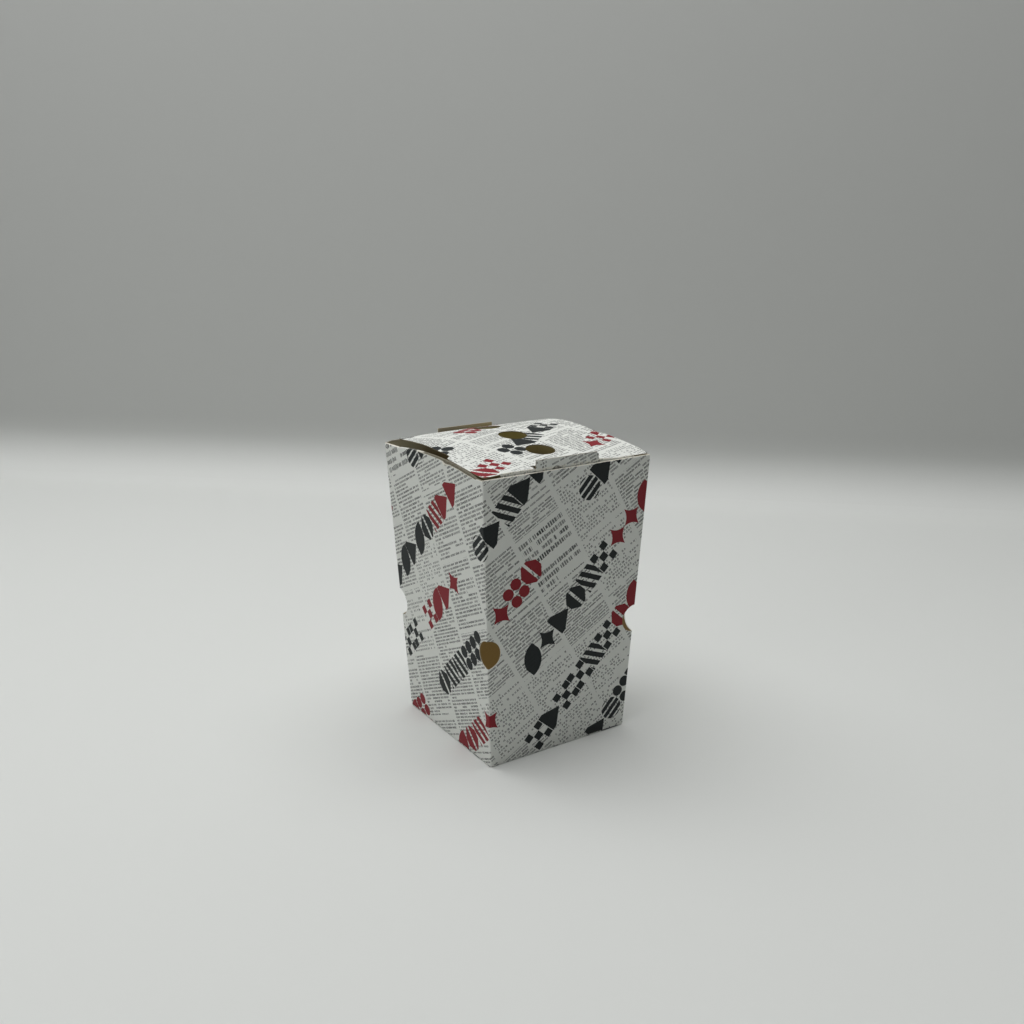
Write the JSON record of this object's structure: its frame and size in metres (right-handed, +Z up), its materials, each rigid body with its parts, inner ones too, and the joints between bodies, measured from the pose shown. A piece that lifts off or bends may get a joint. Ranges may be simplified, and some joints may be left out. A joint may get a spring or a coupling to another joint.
{
  "type": "hinged chip box",
  "caption": "Tall tapered paperboard takeaway box with a bowed hinged lid, tuck flap, dust flaps, stacking tabs and round steam vents.",
  "frame": {"origin": "centre of the square base, on the surface the box stands on", "axes": "+Z up the box, +Y towards the back wall that carries the lid, -Y towards the front wall, +X to the right seen from the front"},
  "size_m": [0.1002, 0.1002, 0.1596],
  "materials": {
    "carton_board": "uncoated white board with grey, black and red print, brown kraft inside",
    "lid_board": "uncoated white board with grey, black and red print, brown kraft inside"
  },
  "bodies": {
    "carton": {"carton": "carton_board"},
    "lid": {"lid": "lid_board"},
    "tuck_flap": {"tuck_flap": "lid_board"},
    "left_dust_flap": {"left_dust_flap": "carton_board"},
    "right_dust_flap": {"right_dust_flap": "carton_board"}
  },
  "joints": [
    {"name": "lid_hinge", "type": "hinge", "parent": "carton", "child": "lid", "pos_m": [0, 0.0498, 0.15345], "axis": [-1, 0, 0], "range_deg": [0, 180]},
    {"name": "tuck_fold", "type": "hinge", "parent": "lid", "child": "tuck_flap", "pos_m": [0, -0.04895, 0.1536], "axis": [1, 0, 0], "range_deg": [0, 45]},
    {"name": "left_dust_fold", "type": "hinge", "parent": "carton", "child": "left_dust_flap", "pos_m": [-0.0497, 0, 0.15505], "axis": [0, -1, 0], "range_deg": [0, 140]},
    {"name": "right_dust_fold", "type": "hinge", "parent": "carton", "child": "right_dust_flap", "pos_m": [0.0497, 0, 0.15505], "axis": [0, 1, 0], "range_deg": [0, 140]}
  ],
  "couplings": [
    {"joint": "left_dust_fold", "follows": "lid_hinge", "ratio": 0.7777},
    {"joint": "right_dust_fold", "follows": "lid_hinge", "ratio": 0.7777}
  ]
}
